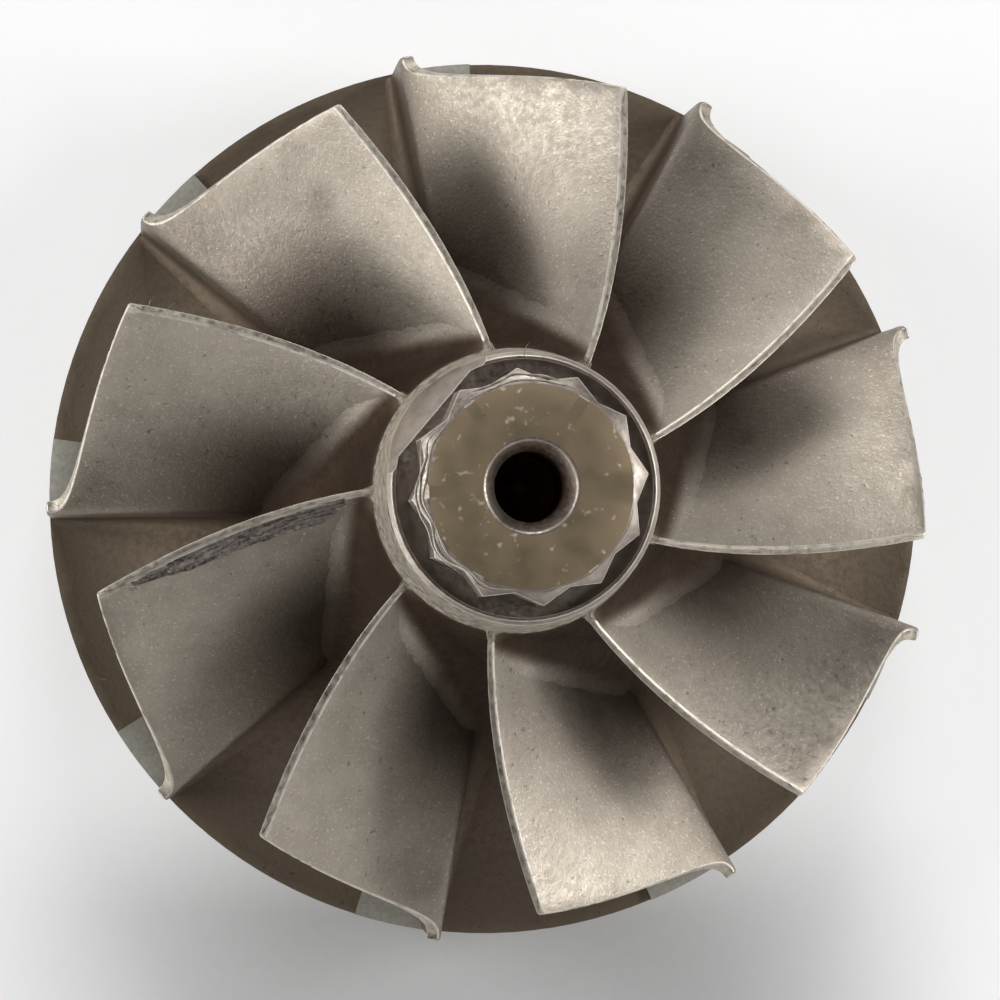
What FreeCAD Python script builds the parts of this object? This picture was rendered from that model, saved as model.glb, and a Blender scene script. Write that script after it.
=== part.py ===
import FreeCAD, Part
import math
import os

import Sketcher
from FreeCAD import Placement, Rotation, Vector

# A radial-inflow turbine wheel, cast as one piece.
# The axis is Z. The wheel stands on the flat end of its weld boss at z = 0, nose up.
# "disc_front" is the height of the disc's front face at the rim, and blade heights start there.

os.makedirs("parts", exist_ok=True)
doc = FreeCAD.newDocument("turbine_wheel")

SIZES = [
    # disc and weld boss
    ("disc_radius", 27.0),
    ("rim_thickness", 1.3),
    ("back_rise", 1.6),
    ("boss_radius", 7.5),
    ("boss_length", 5.0),
    ("boss_fillet", 1.5),
    ("boss_chamfer", 0.4),
    ("dam_radius", 4.0),
    ("dam_depth", 8.0),
    ("dam_chamfer", 0.5),
    # nose: collar, twelve-point drive and centre hole
    ("collar_radius", 7.67),
    ("collar_height", 25.16),
    ("collar_chamfer", 0.25),
    ("lip_width", 0.45),
    ("relief_depth", 0.6),
    ("drive_across_flats", 11.4),
    ("drive_angle", 6.5),
    ("drive_height", 4.1),
    ("face_radius", 5.65),
    ("face_bevel_angle", 32.0),
    ("centre_mouth_radius", 2.54),
    ("centre_radius", 1.98),
    ("centre_depth", 7.0),
    # balance cut ground across the collar
    ("balance_angle", 140.0),
    ("balance_width", 1.45),
    ("balance_drop", 2.75),
    # blades
    ("blade_count", 9),
    ("first_blade_angle", 102.05),
    ("inducer_height", 7.76),
    ("exducer_inset", 2.41),
    ("exducer_tip_height", 16.16),
    ("exducer_hub_height", 19.61),
    ("exducer_bow", 0.17),
    ("shroud_squareness", 2.33),
    ("bend_start", 7.78),
    ("bend_softness", 0.25),
    ("tip_turn_angle", 27.95),
    ("turn_growth", 0.214),
    ("inducer_tip_thickness", 0.58),
    ("inducer_hub_thickness", 1.9),
    ("exducer_tip_thickness", 0.32),
    ("exducer_hub_thickness", 0.36),
    ("inducer_edge_radius", 0.2),
    ("blade_overrun", 2.0),
    ("root_depth", 1.0),
    # low cast pad on the disc behind each blade's leading edge
    ("pad_angle", 9.7),
    ("pad_width", 1.9),
    ("pad_height", 0.45),
]

sheet = doc.addObject("Spreadsheet::Sheet", "Sizes")
for row, (alias, number) in enumerate(SIZES, start=1):
    sheet.set("A%d" % row, alias)
    sheet.set("B%d" % row, str(number))
    sheet.setAlias("B%d" % row, alias)
doc.recompute()


class Size:
    """A number together with the sheet expression that it comes from."""

    def __init__(self, number, text):
        self.number = number
        self.text = text

    def __add__(self, other):
        return Size(self.number + other.number, "(%s + %s)" % (self.text, other.text))

    def __sub__(self, other):
        return Size(self.number - other.number, "(%s - %s)" % (self.text, other.text))

    def __mul__(self, factor):
        return Size(self.number * factor, "(%s * %.9f)" % (self.text, factor))


def size(alias):
    return Size(float(getattr(sheet, alias)), "Sizes." + alias)


ZERO = Size(0.0, "0")

disc_radius = size("disc_radius")
collar_radius = size("collar_radius")
rim_back = size("boss_length") + size("back_rise")
disc_front = rim_back + size("rim_thickness")
collar_top = disc_front + size("collar_height")
relief_floor = collar_top - size("relief_depth")
face_top = collar_top + size("drive_height")
blade_count = int(round(sheet.blade_count))


# Sketch helpers

def origin_plane(body, role):
    for feature in body.Origin.OriginFeatures:
        if feature.Role == role:
            return feature
    raise ValueError(role)


def new_sketch(body, name, role, turn=0.0):
    """A sketch on an origin plane, turned about the wheel's axis by turn degrees."""
    sketch = body.newObject("Sketcher::SketchObject", name)
    sketch.AttachmentSupport = [(origin_plane(body, role), "")]
    sketch.MapMode = "FlatFace"
    if turn:
        sketch.AttachmentOffset = Placement(Vector(), Rotation(Vector(0, 1, 0), turn))
    return sketch


def bind(sketch, kind, args, amount):
    """A sketch constraint whose value follows the sheet."""
    index = sketch.addConstraint(Sketcher.Constraint(kind, *args, amount.number))
    sketch.setExpression("Constraints[%d]" % index, amount.text)


def pin(sketch, geometry, end, x, y):
    """Fix one end of a sketch element at (x, y) by the sheet's sizes."""
    if abs(x.number) < 1e-9:
        sketch.addConstraint(Sketcher.Constraint("PointOnObject", geometry, end, -2))
    else:
        bind(sketch, "DistanceX", (-1, 1, geometry, end), x)
    if abs(y.number) < 1e-9:
        sketch.addConstraint(Sketcher.Constraint("PointOnObject", geometry, end, -1))
    else:
        bind(sketch, "DistanceY", (-1, 1, geometry, end), y)


def join(sketch, first, second):
    sketch.addConstraint(Sketcher.Constraint("Coincident", first, 2, second, 1))


def closed_outline(sketch, points):
    """A closed polygon through points, each vertex pinned."""
    count = len(points)
    vectors = [Vector(x.number, y.number, 0) for x, y in points]
    for i in range(count):
        sketch.addGeometry(Part.LineSegment(vectors[i], vectors[(i + 1) % count]), False)
    for i in range(count):
        join(sketch, i, (i + 1) % count)
        pin(sketch, i, 1, *points[i])


def turned(body, kind, name, points, turn=0.0, angle=360.0, reverse=False):
    """Add or cut a body of revolution about the wheel's axis."""
    sketch = new_sketch(body, name + "_outline", "XZ_Plane", turn)
    closed_outline(sketch, points)
    feature = body.newObject("PartDesign::" + kind, name)
    feature.Profile = sketch
    feature.ReferenceAxis = (sketch, ["V_Axis"])
    feature.Angle = angle
    feature.Reversed = reverse
    doc.recompute()
    return feature


# Hub: disc, weld boss and nose

hub = doc.addObject("PartDesign::Body", "Hub")


def hub_outline():
    """Half section of disc, boss and hub. The hub's front is a quarter ellipse."""
    sketch = new_sketch(hub, "hub_outline", "XZ_Plane")
    lip = collar_radius - size("lip_width")
    path = [
        (collar_radius, collar_top),
        (lip, collar_top),
        (lip, relief_floor),
        (ZERO, relief_floor),
        (ZERO, ZERO),
        (size("boss_radius"), ZERO),
        (size("boss_radius"), size("boss_length")),
        (disc_radius, rim_back),
        (disc_radius, disc_front),
    ]
    vectors = [Vector(x.number, y.number, 0) for x, y in path]
    for start, end in zip(vectors, vectors[1:]):
        sketch.addGeometry(Part.LineSegment(start, end), False)
    lines = len(path) - 1
    centre = Vector(disc_radius.number, collar_top.number, 0)
    reach = disc_radius.number - collar_radius.number
    rise = collar_top.number - disc_front.number
    ellipse = Part.Ellipse(centre - Vector(0, rise, 0), centre - Vector(reach, 0, 0), centre)
    arc = Part.ArcOfEllipse(ellipse, -math.pi / 2, 0)
    curve = sketch.addGeometry(arc, False)
    sketch.exposeInternalGeometry(curve)
    for i in range(lines - 1):
        join(sketch, i, i + 1)
    for i in range(lines):
        pin(sketch, i, 1, *path[i])
    pin(sketch, lines - 1, 2, *path[-1])
    ends = [arc.StartPoint, arc.EndPoint]
    at_disc = 1 if ends[0].distanceToPoint(vectors[-1]) < 1e-6 else 2
    sketch.addConstraint(Sketcher.Constraint("Coincident", curve, at_disc, lines - 1, 2))
    sketch.addConstraint(Sketcher.Constraint("Coincident", curve, 3 - at_disc, 0, 1))
    pin(sketch, curve, 3, disc_radius, collar_top)
    sketch.addConstraint(Sketcher.Constraint("Vertical", curve + 1))
    return sketch


hub_profile = hub_outline()
solid = hub.newObject("PartDesign::Revolution", "hub_solid")
solid.Profile = hub_profile
solid.ReferenceAxis = (hub_profile, ["V_Axis"])
solid.Angle = 360
doc.recompute()


def circle_edges(shape, radius, height):
    """Names of the circular edges about the axis at a radius and height."""
    found = []
    for index, edge in enumerate(shape.Edges, start=1):
        curve = edge.Curve
        if isinstance(curve, Part.Circle) and abs(curve.Radius - radius) < 1e-4:
            if abs(curve.Center.z - height) < 1e-4:
                found.append("Edge%d" % index)
    return found


def dress(kind, name, radius, height, alias, field):
    base = hub.Tip
    feature = hub.newObject("PartDesign::" + kind, name)
    feature.Base = (base, circle_edges(base.Shape, radius.number, height.number))
    feature.setExpression(field, "Sizes." + alias)
    hub.Tip = feature
    doc.recompute()


dress("Fillet", "boss_root", size("boss_radius"), size("boss_length"), "boss_fillet", "Radius")
dress("Chamfer", "boss_end", size("boss_radius"), ZERO, "boss_chamfer", "Size")
dress("Chamfer", "collar_edge", collar_radius, collar_top, "collar_chamfer", "Size")


# Twelve-point drive

def drive():
    """Two hexagons a twelfth of a turn apart, standing on the relief floor."""
    sketch = new_sketch(hub, "drive_outline", "XY_Plane")
    sketch.AttachmentOffset = Placement(Vector(), Rotation(Vector(0, 0, 1), sheet.drive_angle))
    sketch.setExpression("AttachmentOffset.Rotation.Angle", "Sizes.drive_angle")
    sketch.setExpression("AttachmentOffset.Base.z", relief_floor.text)
    corner = size("drive_across_flats") * (0.5 / math.cos(math.radians(30)))
    vectors = []
    for i in range(6):
        turn = math.radians(60 * i)
        vectors.append(Vector(math.cos(turn), math.sin(turn), 0) * corner.number)
    for i in range(6):
        sketch.addGeometry(Part.LineSegment(vectors[i], vectors[(i + 1) % 6]), False)
    ring = sketch.addGeometry(Part.Circle(Vector(), Vector(0, 0, 1), corner.number), True)
    sketch.addConstraint(Sketcher.Constraint("Coincident", ring, 3, -1, 1))
    bind(sketch, "Radius", (ring,), corner)
    for i in range(6):
        join(sketch, i, (i + 1) % 6)
        sketch.addConstraint(Sketcher.Constraint("PointOnObject", i, 1, ring))
    for i in range(1, 6):
        sketch.addConstraint(Sketcher.Constraint("Equal", 0, i))
    sketch.addConstraint(Sketcher.Constraint("PointOnObject", 0, 1, -1))
    pad = hub.newObject("PartDesign::Pad", "drive_hexagon")
    pad.Profile = sketch
    pad.setExpression("Length", (face_top - relief_floor).text)
    doc.recompute()
    pattern = hub.newObject("PartDesign::PolarPattern", "drive_star")
    pattern.Originals = [pad]
    pattern.Axis = (sketch, ["N_Axis"])
    pattern.Angle = 30
    pattern.Occurrences = 2
    hub.Tip = pattern
    doc.recompute()


drive()

# The turned end face bevels the star's points.
bevel_reach = size("drive_across_flats") - size("face_radius")
bevel_drop = bevel_reach * math.tan(math.radians(sheet.face_bevel_angle))
turned(hub, "Groove", "drive_bevel", [
    (size("face_radius"), face_top),
    (size("drive_across_flats"), face_top),
    (size("drive_across_flats"), face_top - bevel_drop),
])

# Centre hole with a sixty-degree mouth and a drilled end.
cone = 1 / math.tan(math.radians(30))
mouth_depth = (size("centre_mouth_radius") - size("centre_radius")) * cone
centre_end = face_top - size("centre_depth")
turned(hub, "Groove", "centre_hole", [
    (ZERO, face_top),
    (size("centre_mouth_radius"), face_top),
    (size("centre_radius"), face_top - mouth_depth),
    (size("centre_radius"), centre_end),
    (ZERO, centre_end - size("centre_radius") * math.tan(math.radians(31))),
])

# Blind bore in the weld boss.
turned(hub, "Groove", "dam_bore", [
    (ZERO, ZERO),
    (size("dam_radius") + size("dam_chamfer"), ZERO),
    (size("dam_radius"), size("dam_chamfer")),
    (size("dam_radius"), size("dam_depth")),
    (ZERO, size("dam_depth") + size("dam_radius") * math.tan(math.radians(31))),
])


def balance_cut():
    """A flat ground across the corner of the collar."""
    sketch = new_sketch(hub, "balance_outline", "XZ_Plane", sheet.balance_angle)
    sketch.setExpression("AttachmentOffset.Rotation.Angle", "Sizes.balance_angle")
    closed_outline(sketch, [
        (collar_radius - size("balance_width"), collar_top),
        (collar_radius + size("balance_width"), collar_top),
        (collar_radius + size("balance_width"), collar_top - size("balance_drop") * 2),
    ])
    pocket = hub.newObject("PartDesign::Pocket", "balance_flat")
    pocket.Profile = sketch
    pocket.SideType = "Symmetric"
    pocket.setExpression("Length", (collar_radius * 2).text)
    doc.recompute()


balance_cut()


def rim_pads():
    """Low cast pads on the disc's front, one on the outflow side of each blade."""
    inner = disc_radius - size("pad_width")
    top = disc_front + size("pad_height")
    bottom = disc_front - size("rim_thickness") * 0.5
    pad = turned(hub, "Revolution", "rim_pad", [
        (inner, bottom),
        (disc_radius, bottom),
        (disc_radius, top),
        (inner, top),
    ], sheet.first_blade_angle, sheet.pad_angle, True)
    pad.setExpression("Angle", "Sizes.pad_angle")
    pattern = hub.newObject("PartDesign::PolarPattern", "rim_pads")
    pattern.Originals = [pad]
    pattern.Axis = (hub_profile, ["V_Axis"])
    pattern.Angle = 360
    pattern.setExpression("Occurrences", "Sizes.blade_count")
    hub.Tip = pattern
    doc.recompute()


rim_pads()


# Blades

blade_base = disc_front.number - sheet.rim_thickness * 0.5
root_radius = sheet.collar_radius - sheet.root_depth


def past_bend(height):
    """Height above the bend, rounded off at the bend so that the flank has no crease."""
    softness = sheet.bend_softness
    return softness * math.log1p(math.exp((height - sheet.bend_start) / softness))


def camber_angle(height):
    """Turn of the blade about the axis at a height, in degrees. Axial below the bend."""
    reach = past_bend(height) / past_bend(sheet.exducer_tip_height)
    growth = sheet.turn_growth
    return -sheet.tip_turn_angle * reach * (1 + growth * reach) / (1 + growth)


def blend(start, end, share):
    share = min(max(share, 0.0), 1.0)
    return start + (end - start) * share


def blade_section(height):
    """Radial strip across the blade at one height, wider at the hub than at the tip."""
    share = (height - sheet.inducer_height)
    tip_share = share / (sheet.exducer_tip_height - sheet.inducer_height)
    hub_share = share / (sheet.exducer_hub_height - sheet.inducer_height)
    tip = blend(sheet.inducer_tip_thickness, sheet.exducer_tip_thickness, tip_share)
    root = blend(sheet.inducer_hub_thickness, sheet.exducer_hub_thickness, hub_share)
    inner = root_radius
    outer = sheet.disc_radius + sheet.blade_overrun
    corners = [(inner, -root), (outer, -tip), (outer, tip), (inner, root)]
    turn = Rotation(Vector(0, 0, 1), camber_angle(height))
    z = disc_front.number + height
    points = [turn.multVec(Vector(r, t / 2, 0)) + Vector(0, 0, z) for r, t in corners]
    return Part.makePolygon(points + points[:1])


def hub_point(height):
    """Point of the hub's front at a height: a quarter ellipse about the collar's level."""
    drop = (sheet.collar_height - height) / sheet.collar_height
    reach = sheet.disc_radius - sheet.collar_radius
    radius = sheet.disc_radius - reach * math.sqrt(1 - drop * drop)
    return Vector(radius, 0, disc_front.number + height)


def shroud_point(share):
    """Point of the blade's outer edge, from the inducer (0) to the exducer (1)."""
    power = 2 / sheet.shroud_squareness
    turn = share * math.pi / 2
    inward = sheet.exducer_inset * math.sin(turn) ** power
    below = (sheet.exducer_tip_height - sheet.inducer_height) * math.cos(turn) ** power
    z = disc_front.number + sheet.exducer_tip_height - below
    return Vector(sheet.disc_radius - inward, 0, z)


def blade_envelope():
    """Body of revolution that trims the blades to the shroud and the exducer edge."""
    shroud = Part.BSplineCurve()
    shroud.interpolate([shroud_point(i / 6) for i in range(7)])
    tip = shroud_point(1)
    core = hub_point(sheet.exducer_hub_height)
    # The exducer edge runs on through the hub's surface, so that no step is left there.
    root = core + (core - tip) * ((core.x - root_radius) / (tip.x - core.x))
    middle = (tip + root) * 0.5 - Vector(0, 0, sheet.exducer_bow)
    low = Vector(0, 0, blade_base)
    rim = low + Vector(sheet.disc_radius, 0, 0)
    corners = [root, Vector(0, 0, root.z), low, rim, shroud_point(0)]
    edges = [Part.LineSegment(a, b).toShape() for a, b in zip(corners, corners[1:])]
    edges.append(shroud.toShape())
    edges.append(Part.Arc(tip, middle, root).toShape())
    profile = Part.Face(Part.Wire(edges))
    # The seam of the revolved faces is kept on the side away from the blade.
    profile.rotate(Vector(), Vector(0, 0, 1), 180)
    return profile.revolve(Vector(), Vector(0, 0, 1), 360)


def one_blade():
    """Blade whose flanks are made of radial lines, trimmed by the envelope."""
    low = -sheet.rim_thickness * 0.5
    top = sheet.exducer_hub_height + sheet.root_depth
    steps = 44
    heights = [low + (top - low) * i / steps for i in range(steps + 1)]
    loft = Part.makeLoft([blade_section(height) for height in heights], True, False)
    blade = loft.common(blade_envelope())
    edges = []
    for edge in blade.Edges:
        ends = [vertex.Point for vertex in edge.Vertexes]
        if len(ends) < 2:
            continue
        on_rim = [abs(math.hypot(p.x, p.y) - sheet.disc_radius) < 0.01 for p in ends]
        if all(on_rim) and abs(ends[0].z - ends[1].z) > sheet.inducer_height * 0.5:
            edges.append(edge)
    return blade.makeFillet(sheet.inducer_edge_radius, edges)


blade_shape = one_blade()
blades = []
for i in range(blade_count):
    blade = doc.addObject("Part::Feature", "Blade%d" % (i + 1))
    blade.Shape = blade_shape
    angle = sheet.first_blade_angle - i * 360.0 / blade_count
    blade.Placement = Placement(Vector(), Rotation(Vector(0, 0, 1), angle))
    blades.append(blade)

wheel = doc.addObject("Part::MultiFuse", "Wheel")
wheel.Label = "turbine_wheel"
wheel.Shapes = [hub] + blades
wheel.Refine = True
doc.recompute()

for item in doc.Objects:
    if "Invalid" in item.State or "Error" in item.State:
        raise RuntimeError("%s: %s" % (item.Name, item.State))
if wheel.Shape.isNull() or not wheel.Shape.isValid():
    raise RuntimeError("turbine_wheel has no valid shape")
if len(wheel.Shape.Solids) != 1:
    raise RuntimeError("turbine_wheel is %d solids" % len(wheel.Shape.Solids))
# A join that loses a blade can still give one valid solid, so the volume is compared.
outside = sum(blade.Shape.cut(hub.Shape).Volume for blade in blades)
expected = hub.Shape.Volume + outside
if abs(wheel.Shape.Volume - expected) > 0.01 * expected:
    raise RuntimeError("volume %.1f, expected %.1f" % (wheel.Shape.Volume, expected))

wheel.Shape.exportStep("parts/turbine_wheel.step")
box = wheel.Shape.optimalBoundingBox(False, False)
print("turbine_wheel volume %.1f mm3" % wheel.Shape.Volume)
print("box %.2f x %.2f x %.2f mm" % (box.XLength, box.YLength, box.ZLength))
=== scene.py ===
import math

import bmesh
import bpy
from mathutils import Matrix, Vector, noise


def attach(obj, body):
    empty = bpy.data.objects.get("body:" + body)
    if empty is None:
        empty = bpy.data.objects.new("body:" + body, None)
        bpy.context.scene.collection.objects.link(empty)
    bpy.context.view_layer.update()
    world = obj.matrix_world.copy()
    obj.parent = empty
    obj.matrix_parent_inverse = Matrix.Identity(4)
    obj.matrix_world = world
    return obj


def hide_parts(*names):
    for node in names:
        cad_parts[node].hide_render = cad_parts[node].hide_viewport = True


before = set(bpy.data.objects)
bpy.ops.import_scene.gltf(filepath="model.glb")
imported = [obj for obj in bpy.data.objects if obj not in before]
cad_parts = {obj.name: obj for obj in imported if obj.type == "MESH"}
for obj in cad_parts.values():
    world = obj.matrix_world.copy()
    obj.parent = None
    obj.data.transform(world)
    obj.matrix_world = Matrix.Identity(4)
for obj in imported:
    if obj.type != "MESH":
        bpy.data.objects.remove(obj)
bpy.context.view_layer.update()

MM = 0.001

# Sizes of the wheel in millimetres and degrees. Blade heights start at the disc's front.
DISC_RADIUS = 27.0
DISC_FRONT = 7.9
BOSS_LENGTH = 5.0
COLLAR_RADIUS = 7.67
COLLAR_HEIGHT = 25.16
DRIVE_HEIGHT = 4.1
FACE_RADIUS = 5.65
DRIVE_ANGLE = 6.5
DRIVE_POINTS = 12
FACE_BEVEL_ANGLE = 32.0
CENTRE_MOUTH_RADIUS = 2.54
BLADE_COUNT = 9
FIRST_BLADE_ANGLE = 102.05
INDUCER_HEIGHT = 7.76
EXDUCER_INSET = 2.41
EXDUCER_TIP_HEIGHT = 16.16
EXDUCER_HUB_HEIGHT = 19.61
EXDUCER_BOW = 0.17
SHROUD_SQUARENESS = 2.33
BEND_START = 7.78
BEND_SOFTNESS = 0.25
TIP_TURN_ANGLE = 27.95
TURN_GROWTH = 0.214
INDUCER_TIP_THICKNESS = 0.58
INDUCER_HUB_THICKNESS = 1.9
EXDUCER_TIP_THICKNESS = 0.32
EXDUCER_HUB_THICKNESS = 0.36
BLADE_OVERRUN = 2.0
ROOT_DEPTH = 1.0
PAD_WIDTH = 1.9
PAD_HEIGHT = 0.45

# Sizes of the dressed surface only. The root fillet grows from the rim to the hub and runs out
# over the last stretch below the trailing edge.
RIM_FILLET = 0.5
HUB_FILLET = 2.1
FILLET_START_TURN = 0.0104
FILLET_FULL_TURN = 0.9
FILLET_RUN_OUT = 3.2
FILLET_END_SHARE = 0.998
FILLET_STEPS = 54
FILLET_ARC_STEPS = 8
BLADE_EDGE_ROUND = 0.11
RIM_ROUND = 0.12
NOSE_ROUND = 0.055
MOUTH_ROUND = 0.16
SHARPEST_SMOOTH_ANGLE = 34.0
SHARP_EDGE_ANGLE = 32.0
MERGE_DISTANCE = 0.0005
TURNED_RING_PITCH = 0.13

# Scar on the trailing edge of the seventh blade, from outer to inner radius.
SCAR_BLADE = 6
SCAR_OUTER = 22.6
SCAR_INNER = 9.7
SCAR_WIDTH_AT_HUB = 1.464

# Ridges smeared on the drive: mean radius, wander, start and end angle, thickness, seed.
SMEARED_RIDGES = (
    (5.82, 0.14, 138, 262, 0.11, 1.0),
    (6.05, 0.26, 148, 250, 0.14, 2.0),
    (6.26, 0.16, 156, 232, 0.10, 3.0),
    (5.82, 0.12, 66, 130, 0.11, 4.0),
    (6.08, 0.22, 74, 122, 0.13, 5.0),
    (5.78, 0.08, 268, 352, 0.06, 6.0),
)

# Slivers on the eighth blade's trailing edge: radius of the foot and lean.
EDGE_SLIVER_BLADE = 7
EDGE_SLIVERS = (
    (23.5, Vector((0.2, 1, 0.1))),
    (22.4, Vector((0.5, 0.9, 0.1))),
)

# Marks on the blades: middle, reach and depth.
SMUDGE = ((-10.9, 17.3, 22.2), 1.5, 0.45)
DARK_SPECK = ((13.2, -8.6, 24.0), 0.35, 0.8)

COLLAR_TOP = DISC_FRONT + COLLAR_HEIGHT
FACE_TOP = COLLAR_TOP + DRIVE_HEIGHT
TIP_RADIUS = DISC_RADIUS - EXDUCER_INSET
HUB_REACH = DISC_RADIUS - COLLAR_RADIUS
EXDUCER_HUB_TURN = math.acos(1 - EXDUCER_HUB_HEIGHT / COLLAR_HEIGHT)
EXDUCER_HUB_RADIUS = DISC_RADIUS - HUB_REACH * math.sin(EXDUCER_HUB_TURN)


# The blade's form

def past_bend(height):
    return BEND_SOFTNESS * math.log1p(math.exp((height - BEND_START) / BEND_SOFTNESS))


def camber(height):
    """Turn of the blade about the axis, in radians."""
    reach = past_bend(height) / past_bend(EXDUCER_TIP_HEIGHT)
    return -math.radians(TIP_TURN_ANGLE) * reach * (1 + TURN_GROWTH * reach) / (1 + TURN_GROWTH)


def blend(start, end, share):
    return start + (end - start) * min(max(share, 0.0), 1.0)


def half_thickness(along, height):
    rise = height - INDUCER_HEIGHT
    tip = blend(INDUCER_TIP_THICKNESS, EXDUCER_TIP_THICKNESS,
                rise / (EXDUCER_TIP_HEIGHT - INDUCER_HEIGHT))
    root = blend(INDUCER_HUB_THICKNESS, EXDUCER_HUB_THICKNESS,
                 rise / (EXDUCER_HUB_HEIGHT - INDUCER_HEIGHT))
    inner = COLLAR_RADIUS - ROOT_DEPTH
    outer = DISC_RADIUS + BLADE_OVERRUN
    return (root + (tip - root) * (along - inner) / (outer - inner)) / 2


def flank(along, height, side):
    """Point of a blade's flank: side 1 faces against the turn of the blade, side -1 with it."""
    turn = camber(height)
    across = side * half_thickness(along, height)
    return Vector((along * math.cos(turn) - across * math.sin(turn),
                   along * math.sin(turn) + across * math.cos(turn),
                   DISC_FRONT + height))


def blade_turn(index):
    return math.radians(FIRST_BLADE_ANGLE - index * 360 / BLADE_COUNT)


def blade_point(index, along, height, side):
    """Point of one blade's flank in the wheel."""
    return Matrix.Rotation(blade_turn(index), 3, "Z") @ flank(along, height, side)


def flank_normal(along, height, side):
    step = 0.01
    outward = flank(along + step, height, side) - flank(along - step, height, side)
    upward = flank(along, height + step, side) - flank(along, height - step, side)
    normal = outward.cross(upward).normalized()
    across = Vector((-math.sin(camber(height)), math.cos(camber(height)), 0)) * side
    return normal if normal.dot(across) > 0 else -normal


def exducer_height(radius):
    """Height of the trailing edge at a radius."""
    share = (TIP_RADIUS - radius) / (TIP_RADIUS - EXDUCER_HUB_RADIUS)
    straight = EXDUCER_TIP_HEIGHT + (EXDUCER_HUB_HEIGHT - EXDUCER_TIP_HEIGHT) * share
    return straight - 4 * EXDUCER_BOW * share * (1 - share)


def on_hub(point):
    """The nearest point of the hub's quarter ellipse, with the hub's normal there."""
    radius = math.hypot(point.x, point.y)
    height = point.z - DISC_FRONT
    for _ in range(3):
        a = (DISC_RADIUS - radius) / HUB_REACH
        b = (COLLAR_HEIGHT - height) / COLLAR_HEIGHT
        miss = a * a + b * b - 1
        slope = Vector((-2 * a / HUB_REACH, -2 * b / COLLAR_HEIGHT))
        move = slope * (miss / slope.length_squared)
        radius -= move.x
        height -= move.y
    turn = math.atan2(point.y, point.x)
    tilt = Vector(((DISC_RADIUS - radius) / HUB_REACH ** 2, (COLLAR_HEIGHT - height) / COLLAR_HEIGHT ** 2))
    tilt.normalize()
    spot = Vector((radius * math.cos(turn), radius * math.sin(turn), DISC_FRONT + height))
    return spot, Vector((tilt.x * math.cos(turn), tilt.x * math.sin(turn), tilt.y))


# Mesh building. All shapes are in millimetres until the piece is finished.

def add_strip(surface, sections, turn, material):
    """A closed tube through sections, each a ring of as many points, turned about the axis."""
    place = Matrix.Rotation(turn, 3, "Z")
    rings = [[surface.verts.new(place @ p) for p in section] for section in sections]
    faces = [rings[0][::-1], rings[-1]]
    for low, high in zip(rings, rings[1:]):
        for i in range(len(low)):
            j = (i + 1) % len(low)
            faces.append([low[i], low[j], high[j], high[i]])
    made = []
    for corners in faces:
        face = surface.faces.new(corners)
        face.material_index = material
        face.smooth = True
        made.append(face)
    bmesh.ops.recalc_face_normals(surface, faces=made)


def within_rim(spot, gap):
    """The point itself, or moved in to a gap inside the disc's rim."""
    radius = math.hypot(spot.x, spot.y)
    share = min(1.0, (DISC_RADIUS - gap) / max(radius, 0.001))
    return Vector((spot.x * share, spot.y * share, spot.z))


def root_fillet_sections(side):
    """Concave fillet between hub and flank, from the disc's rim to the trailing edge."""
    turn_step = (EXDUCER_HUB_TURN - FILLET_START_TURN) / (FILLET_STEPS - 1) * FILLET_END_SHARE
    sections = []
    for step in range(FILLET_STEPS):
        turn = FILLET_START_TURN + turn_step * step
        radius = DISC_RADIUS - HUB_REACH * math.sin(turn)
        height = COLLAR_HEIGHT * (1 - math.cos(turn))
        half = half_thickness(radius, height)
        along = math.sqrt(radius * radius - half * half)
        corner = flank(along, height, side)
        _, hub_up = on_hub(corner)
        away = flank_normal(along, height, side)
        tangent = hub_up.cross(away).normalized()
        size = blend(RIM_FILLET, HUB_FILLET, turn / FILLET_FULL_TURN)
        size *= math.sqrt(min(1.0, max(0.004, (EXDUCER_HUB_HEIGHT - height) / FILLET_RUN_OUT)))
        over_hub = tangent.cross(hub_up)
        over_hub *= 1 if over_hub.dot(away) > 0 else -1
        up_flank = tangent.cross(away)
        up_flank *= 1 if up_flank.dot(hub_up) > 0 else -1
        foot, _ = on_hub(corner + over_hub * size)
        top = corner + up_flank * size
        top_height = top.z - DISC_FRONT
        local = Matrix.Rotation(-camber(top_height), 3, "Z") @ top
        top = flank(local.x, top_height, side)
        ring = []
        for i in range(FILLET_ARC_STEPS + 1):
            t = i / FILLET_ARC_STEPS
            ring.append(foot * (1 - t) ** 2 + corner * (2 * t * (1 - t)) + top * t ** 2)
        # Both ends and the back of the strip lie just under the metal.
        ring[0] = ring[0] - hub_up * 0.02
        ring[-1] = ring[-1] - away * 0.02
        ring.append(corner - (hub_up + away) * 0.08)
        sections.append([within_rim(spot, 0.02) for spot in ring])
    return sections


def tube_sections(path, radii, sides=6):
    """Rings of a round tube along a path."""
    sections = []
    for i, (spot, radius) in enumerate(zip(path, radii)):
        ahead = (path[min(i + 1, len(path) - 1)] - path[max(i - 1, 0)]).normalized()
        reference = Vector((0, 0, 1)) if abs(ahead.z) < 0.9 else Vector((1, 0, 0))
        across = ahead.cross(reference).normalized()
        upward = across.cross(ahead)
        sections.append([spot + (across * math.cos(math.tau * k / sides)
                                 + upward * math.sin(math.tau * k / sides)) * radius
                         for k in range(sides)])
    return sections


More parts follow.
